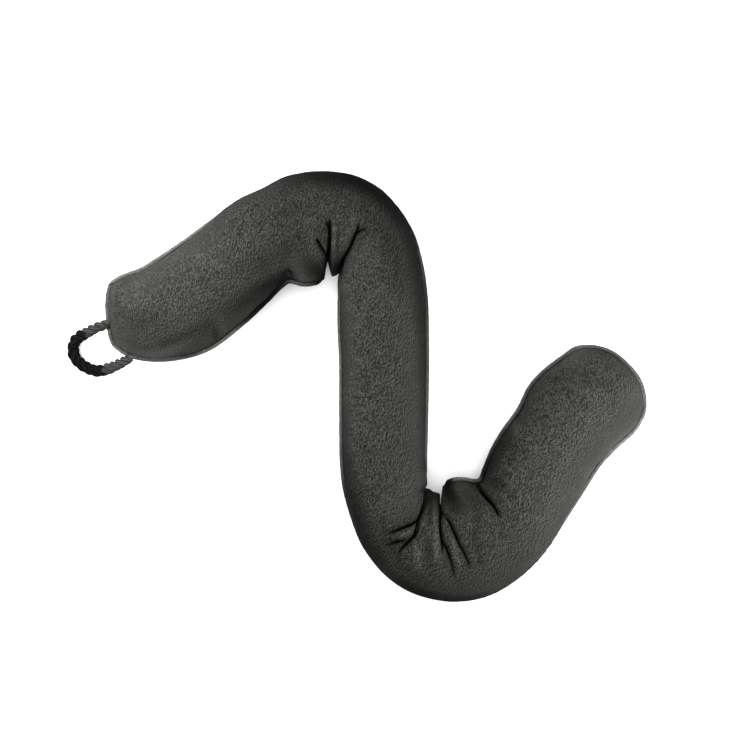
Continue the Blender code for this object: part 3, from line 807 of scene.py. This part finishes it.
def makeCover():
    rows = rowsAt(evenPlaces())
    top = np.linspace(0, math.pi, cover["topColumns"] + 1)[:-1]
    under = math.pi + np.linspace(0, math.pi, cover["undersideColumns"] + 1)[:-1]
    angles = np.concatenate([top, under])[None, :].repeat(len(rows["places"]), axis=0)
    grid = plainSurface(rows, angles, overEdging=True)
    height = np.sin(angles)
    onTop = np.clip(height / cover["topFrom"], 0, 1)
    relief, dark = reliefOf(grid[..., :2])
    core = np.concatenate([rows["middle"], rows["seam"][:, None]], axis=1)[:, None]
    inward = unit(core - grid)
    grid = grid + inward * (relief * onTop)[..., None]

    outward = unit(np.cross(np.gradient(grid, axis=0), np.roll(grid, -1, 1) - np.roll(grid, 1, 1)))
    outward *= np.sign((outward * -inward).sum(-1, keepdims=True))
    lumps = roughnessAt(grid, cover["lumps"])
    nap = roughnessAt(grid, cover["nap"])
    puckers = seamPuckers(rows, angles)
    resting = np.clip(grid[..., 2] / cover["floorCalm"], 0, 1)
    ends = np.clip(rows["toEnd"] / cover["endCalm"], 0, 1)[:, None]
    nearSeam = np.clip(np.abs(height) / cover["napFrom"], 0, 1)
    move = (lumps * onTop * ends + nap * nearSeam * resting * ends + puckers) * resting
    grid = grid + outward * move[..., None]
    grid[..., 2] = np.maximum(grid[..., 2], 0)

    plan = grid[..., :2]
    marks = {
        # marks that carry painted shade and painted light, besides how upright the pile stands
        "paintedFoldShade": markOfTube(dark * np.clip(height / cover["foldDarkFrom"], 0, 1)),
        "upright": markOfTube(height * standingAt(plan)),
        "paintedLightAndShade": markOfTube(paintedLightAndShadeAt(plan, cover["paintedLightAndShade"])),
        "paintedSeamShade": markOfTube(paintedSeamShade(rows, angles, grid)),
    }
    piece = skinTubes("fleeceCover", [grid], marks)
    piece.data.materials.append(fleece())
    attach(piece, "root")
    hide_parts("filled_cover")
    print(f"cover filled, {len(piece.data.polygons)} faces")
    return rows


# short matt nap of worm-like tufts, with painted light and shade on their sides, flatter beside the
# seams; painted shade in the folds, along the seam and under the strokes
def fleece():
    look = cover["look"]
    finish, tree, shader = newFinish("charcoalFleece", look["roughness"], look["specular"])
    place = put(tree, "ShaderNodeTexCoord")["Object"]
    drawnOut = moved(tree, "MULTIPLY", place, look["drawnOut"])
    besideThem = moved(tree, "ADD", drawnOut, look["paintedLightFrom"])
    tufts = grains(tree, drawnOut, **look["tufts"])
    tuftsBeside = grains(tree, besideThem, **look["tufts"])
    patches = grains(tree, place, **look["patches"])
    upright = mathOf(tree, "ADD", markOf(tree, "upright"), swing(tree, patches, look["patchy"]))
    (lies, shownLying), (stands, shownStanding) = look["liesAt"], look["standsAt"]
    shown = {"i1": lies, "i2": stands, "i3": shownLying, "i4": shownStanding}
    standing = put(tree, "ShaderNodeMapRange", None, Value=upright, **shown)[0]
    # painted light on one side of each tuft and painted shade on the other
    lit = mathOf(tree, "MULTIPLY", mathOf(tree, "SUBTRACT", tufts, tuftsBeside), look["lit"])
    raised = mathOf(tree, "ADD", swing(tree, tufts, look["thick"]), lit)
    raised = mathOf(tree, "MULTIPLY", raised, standing)
    shaded = mathOf(tree, "ADD", mathOf(tree, "ADD", raised, swing(tree, patches, look["waves"])), 0.5)
    # painted shade of the folds and of the seam crease
    folded = leftBy(tree, "paintedFoldShade", look["foldDark"])
    seamed = leftBy(tree, "paintedSeamShade", look["seamDark"])
    # the strokes' painted shade and painted light darken or lighten the colour
    shade = mathOf(tree, "MULTIPLY", mathOf(tree, "MULTIPLY", folded, seamed), leftBy(tree, "paintedLightAndShade"))
    colour = mixed(tree, "MULTIPLY", 1.0, ramp(tree, shaded, look["greys"]), shade)
    finishWith(tree, shader, colour, raised, look["bump"])
    return finish


coverRows = makeCover()

# the edging that is sewn into the seam all round, in two lengths that end in the deep folds
edging = {
    "sides": 20,
    "step": 1.6,
    "endSteps": 60,
    "loopEndCuts": {"right": (-53, 103), "left": (58, -106)},  # where each length ends, in the deep folds
    "farEndCuts": {"left": (71, -99), "right": (-37, 109)},
    "sameWithin": 1e-6,  # places nearer than this count as one
    "grooveAt": 0.62,  # how far in from its middle the groove of the sewing lies, in half widths
    "grooveWidth": 0.2,
    "grooveDepth": 0.3,
    "ribPitch": 1.9,
    "ribHeight": 0.12,
    "ribOutward": 0.5,  # the share of that at its outer edge
    "taper": 9,  # length over which it thins at a cut end
    "thinnest": 0.4,
    "sewnIn": 0.8,  # how far its inner edge reaches into the seam
    "soften": [1, 2, 3, 2, 1],  # how much each place counts where its path is made smooth
    "paintedCreviceShade": 0.9,  # painted shade of its inner side, in the crevice by the cover
    "creviceFrom": 0.05,  # how far in that begins and is full
    "creviceFull": 0.35,
    "stitchDark": 0.35,  # the line of stitches along it
    "stitchAt": 0.3,  # how far out from its middle that lies, in half widths
    "stitchWidth": 0.2,
    # where it shows no such line, and how far from there the line begins and is full
    "plainRims": [
        [(-262, 110), (-245, 118), (-190, 150), (-100, 210)],
        [(195, -135), (235, -75), (268, -40)],
    ],
    "stitchFrom": 14,
    "stitchFull": 24,
    # painted shade on its pile, or painted light (under 0): x, y, darkness and width along each
    "paintedLightAndShade": [
        [(-268, 94, 0.3, 10), (-270, 80, 0.35, 10), (-269, 70, 0.1, 8)],
        [(-268, 50, 0.35, 7), (-262, 40, 0.4, 7)],
        [(-256, 46, 0.2, 10), (-250, 33, 0.35, 12), (-234, 24, 0.3, 12), (-215, 25, 0.25, 12),
         (-196, 28, 0.3, 12), (-180, 30, 0.25, 8)],
        [(-168, 36, -0.4, 8), (-156, 43, -0.5, 8), (-144, 51, -0.5, 8), (-139, 55, -0.1, 7)],
        [(-134, 59, 0.3, 8), (-128, 65, 0.8, 10), (-111, 81, 0.97, 10), (-96, 96, 0.9, 9),
         (-87, 101, 0.7, 7), (-79, 99, 0.3, 7), (-62, 99, 0.2, 7), (-55, 102, 0.9, 6)],
        [(-116, 198, 0.4, 10), (-106, 203, 0.7, 10), (-94, 208, 0.7, 10), (-80, 213, 0.7, 10),
         (-66, 219, 0.6, 12), (-20, 216, 0.4, 12), (4, 203, 0.6, 12), (32, 184, 0.8, 16),
         (56, 130, 0.8, 16), (62, 50, 0.7, 16), (62, -60, 0.6, 16)],
        [(-46, 90, 0.6, 14), (-46, 0, 0.6, 14), (-42, -82, 0.75, 14), (-30, -138, 0.75, 16),
         (6, -188, 0.3, 12), (28, -204, 0.7, 14), (67, -222, 0.75, 14), (110, -212, 0.3, 14)],
        [(190, -138, 0.1, 10), (222, -92, 0.1, 10)],
        [(236, -66, -0.1, 12), (252, -48, -0.6, 12), (262, -36, -0.4, 12)],
        [(274, -14, -0.3, 10), (274, 2, 0, 10), (262, 22, 0.1, 12), (244, 34, 0.4, 12),
         (224, 42, 0.2, 12), (206, 42, -0.4, 10)],
        [(-206, 134, -0.2, 10), (-178, 154, -0.4, 10), (-158, 169, -0.2, 10)],
        [(165, 10, 0.1, 12), (142, -14, 0.25, 12), (132, -34, 0.1, 12)],
        [(128, -46, 0.5, 10), (122, -58, 0.6, 12), (113, -76, 0.85, 12), (106, -88, 0.85, 9),
         (100, -91, 0.1, 7), (93, -88, -0.6, 7), (83, -87, -0.1, 7), (75, -91, 0.75, 8),
         (69, -97, 0.95, 8)],
        # painted shade in the notches where the seam turns round the corners of the ends
        [(-267, 101, 0.8, 2), (-262.5, 102.5, 0.8, 2)],
        [(268, -22.5, 0.95, 2), (262, -25, 0.9, 2)],
    ],
    "firmness": 1.6,
    "look": {
        "roughness": 0.95,
        "specular": 0.04,
        "sheen": 0.03,
        "sheenRoughness": 0.4,
        "tufts": {"scale": 520, "detail": 3, "roughness": 0.6, "distortion": 0.8},
        "greys": [(0.34, 0.03), (0.66, 0.075)],
        "bump": {"Strength": 0.6, "Distance": 0.0004},
    },
}


# the seam of one side from row to row, each place with the seam's roll
def sideSeam(side, first, last):
    rolls = coverRows["rolls"][side]
    angles = rolls if side == "left" else math.pi - rolls
    grid = plainSurface(coverRows, angles[:, None])[:, 0]
    step = 1 if last >= first else -1
    order = np.arange(first, last + step, step)
    return np.concatenate([grid[order], rolls[order, None]], axis=1)


# the seam over an end of the tube
def endSeam(row, fromLeft):
    angles = math.pi * np.arange(1, edging["endSteps"]) / edging["endSteps"]
    if not fromLeft:
        angles = angles[::-1]
    everyRow = angles[None, :].repeat(len(coverRows["places"]), axis=0)
    over, below = plainSurface(coverRows, everyRow)[row], plainSurface(coverRows, -everyRow)[row]
    return np.concatenate([(over + below) / 2, np.zeros((len(angles), 1))], axis=1)


# the row whose seam is nearest to the place of a cut
def rowAtCut(side, cuts):
    return int(np.linalg.norm(coverRows[side] - cuts[side], axis=1).argmin())


# places on the seam at even steps, softly joined, with the way out of the cover at each
def outOfSeam(path):
    knots = travelled(path[:, :3])
    keep = np.concatenate([[True], np.diff(knots) > edging["sameWithin"]])
    knots, path = knots[keep], path[keep]
    places = np.linspace(0, knots[-1], round(knots[-1] / edging["step"]) + 1)
    even = np.stack([np.interp(places, knots, path[:, k]) for k in range(4)], axis=1)
    soften = np.array(edging["soften"]) / sum(edging["soften"])
    kept = len(soften) // 2  # places at each end that stay as they are
    for k in range(4):
        even[kept:-kept, k] = np.convolve(even[:, k], soften, "valid")
    run = unit(np.gradient(even[:, :3], axis=0))
    level = np.hypot(run[:, 0], run[:, 1])
    roll = even[:, 3]
    flat = np.cos(roll)
    out = np.stack([-run[:, 1] / level * flat, run[:, 0] / level * flat, np.sin(roll)], axis=1)
    return places, even[:, :3], out


# a soft bump of 1 round one place
def bumpAt(values, place, width):
    return np.exp(-(((values - place) / width) ** 2))


# how dark the edging is at every point: the painted light and shade of its strokes, the painted shade of
# the crevice on its inner side, and its stitches
def edgingMark(plan, outness):
    paintedCreviceShade = edging["paintedCreviceShade"] * between(-outness, edging["creviceFrom"], edging["creviceFull"])
    paintedCreviceShade = paintedCreviceShade * clearAt(plan)
    away = np.min([nearFold(plan, rim)[0] for rim in edging["plainRims"]], axis=0)
    stitches = edging["stitchDark"] * bumpAt(outness, edging["stitchAt"], edging["stitchWidth"])
    stitches = stitches * between(away, edging["stitchFrom"], edging["stitchFull"])
    strokes = paintedLightAndShadeAt(plan, edging["paintedLightAndShade"], edging["firmness"])
    return 1 - (1 - strokes) * (1 - paintedCreviceShade) * (1 - stitches)


def makeEdging(name, node, path):
    places, line, out = outOfSeam(path)
    toEnd = np.minimum(places, places[-1] - places)
    size = edging["thinnest"] + (1 - edging["thinnest"]) * np.clip(toEnd / edging["taper"], 0, 1)
    middle = line + out * (pipingWide / 2 * size + pipingGap)[:, None]
    run = unit(np.gradient(middle, axis=0))
    out = unit(out - run * (out * run).sum(1, keepdims=True))
    up = np.cross(run, out)
    angles = 2 * math.pi * (np.arange(edging["sides"]) + 0.5) / edging["sides"]
    outness = np.cos(angles)
    ribs = edging["ribHeight"] * np.sin(2 * math.pi * places / edging["ribPitch"])[:, None]
    groove = edging["grooveDepth"] * bumpAt(-outness, edging["grooveAt"], edging["grooveWidth"])
    wide = (pipingWide / 2 + ribs * edging["ribOutward"] - groove) * size[:, None]
    wide = np.where(outness < 0, wide + pipingGap + edging["sewnIn"], wide)
    thick = (pipingThick / 2 + ribs - groove) * size[:, None]
    sideways = out[:, None] * (wide * outness)[..., None]
    skin = middle[:, None] + (sideways + up[:, None] * (thick * np.sin(angles))[..., None])
    piece = skinTubes(name, [skin], {"paintedLightAndShade": markOfTube(edgingMark(skin[..., :2], outness))})
    piece.data.materials.append(edgingCloth)
    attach(piece, "root")
    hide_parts(node)


# the cut edge of the fleece, ribbed by the sewing, lighter than its face partly in its own tone and
# partly as painted light on its rim
def edgingFinish():
    look = edging["look"]
    finish, tree, shader = newFinish(
        "greyEdging", look["roughness"], look["specular"], look["sheen"], look["sheenRoughness"]
    )
    place = put(tree, "ShaderNodeTexCoord")["Object"]
    tufts = grains(tree, place, **look["tufts"])
    # the edging's colour takes painted shade and painted light from its strokes
    colour = mixed(tree, "MULTIPLY", 1.0, ramp(tree, tufts, look["greys"]), leftBy(tree, "paintedLightAndShade"))
    finishWith(tree, shader, colour, tufts, look["bump"])
    return finish


edgingCloth = edgingFinish()
lastRow = len(coverRows["places"]) - 1
loopEndPath = [
    sideSeam("right", rowAtCut("right", edging["loopEndCuts"]), 0),
    endSeam(0, False),
    sideSeam("left", 0, rowAtCut("left", edging["loopEndCuts"])),
]
farEndPath = [
    sideSeam("left", rowAtCut("left", edging["farEndCuts"]), lastRow),
    endSeam(lastRow, True),
    sideSeam("right", lastRow, rowAtCut("right", edging["farEndCuts"])),
]
makeEdging("edgingLoopEnd", "seam_piping_1", np.concatenate(loopEndPath))
makeEdging("edgingFarEnd", "seam_piping_2", np.concatenate(farEndPath))
print("edging sewn round")

# a white table, a soft box at each side with a small one over it, and a large one overhead
studio = {
    "floorGrey": 0.86,
    "floorRoughness": 0.9,
    "floorSpecular": 0.15,
    "floorSize": 12.0,
    "floorBelow": 0.0002,
    "lamps": [  # place, what it looks at, size, spread in degrees, watts
        ((-0.54, 0.26, 0.3), (-0.2, 0.09, 0.03), (0.25, 0.4), 80, 3.0),
        ((0.6, -0.2, 0.3), (0.2, -0.03, 0.03), (0.25, 0.4), 80, 3.2),
        ((-0.46, -0.16, 0.3), (-0.23, 0.04, 0.03), (0.2, 0.2), 60, 0.22),
        ((0.3, 0.34, 0.3), (0.22, 0.02, 0.03), (0.2, 0.2), 60, 0.22),
        ((0, 0, 2.4), (0, 0, 0), (2.0, 2.0), 180, 76),
    ],
    "sky": 0.1,
}


def makeTable():
    half = studio["floorSize"] / 2
    corners = [(-half, -half, 0), (half, -half, 0), (half, half, 0), (-half, half, 0)]
    sheet = bpy.data.meshes.new("whiteTable")
    sheet.from_pydata(corners, [], [(0, 1, 2, 3)])
    table = bpy.data.objects.new("whiteTable", sheet)
    table.location.z = -studio["floorBelow"]
    bpy.context.scene.collection.objects.link(table)
    finish, tree, shader = newFinish("whiteTable", studio["floorRoughness"], studio["floorSpecular"])
    grey = studio["floorGrey"]
    shader.inputs["Base Color"].default_value = (grey, grey, grey, 1)
    sheet.materials.append(finish)


def makeLights():
    for number, (place, target, size, spread, watts) in enumerate(studio["lamps"]):
        lamp = bpy.data.lights.new(f"softBox{number}", "AREA")
        lamp.shape = "RECTANGLE"
        lamp.size, lamp.size_y = size
        lamp.spread = math.radians(spread)
        lamp.energy = watts
        box = bpy.data.objects.new(f"softBox{number}", lamp)
        box.location = place
        box.rotation_mode = "QUATERNION"
        box.rotation_quaternion = (Vector(target) - Vector(place)).to_track_quat("-Z", "Y")
        box.visible_camera = False
        bpy.context.scene.collection.objects.link(box)
    world = bpy.data.worlds.new("studio")
    bpy.context.scene.world = world
    world.use_nodes = True
    sky = world.node_tree.nodes["Background"]
    sky.inputs["Color"].default_value = (1, 1, 1, 1)
    sky.inputs["Strength"].default_value = studio["sky"]
    bpy.context.scene.view_settings.view_transform = "Standard"


makeTable()
makeLights()
print("studio lit")
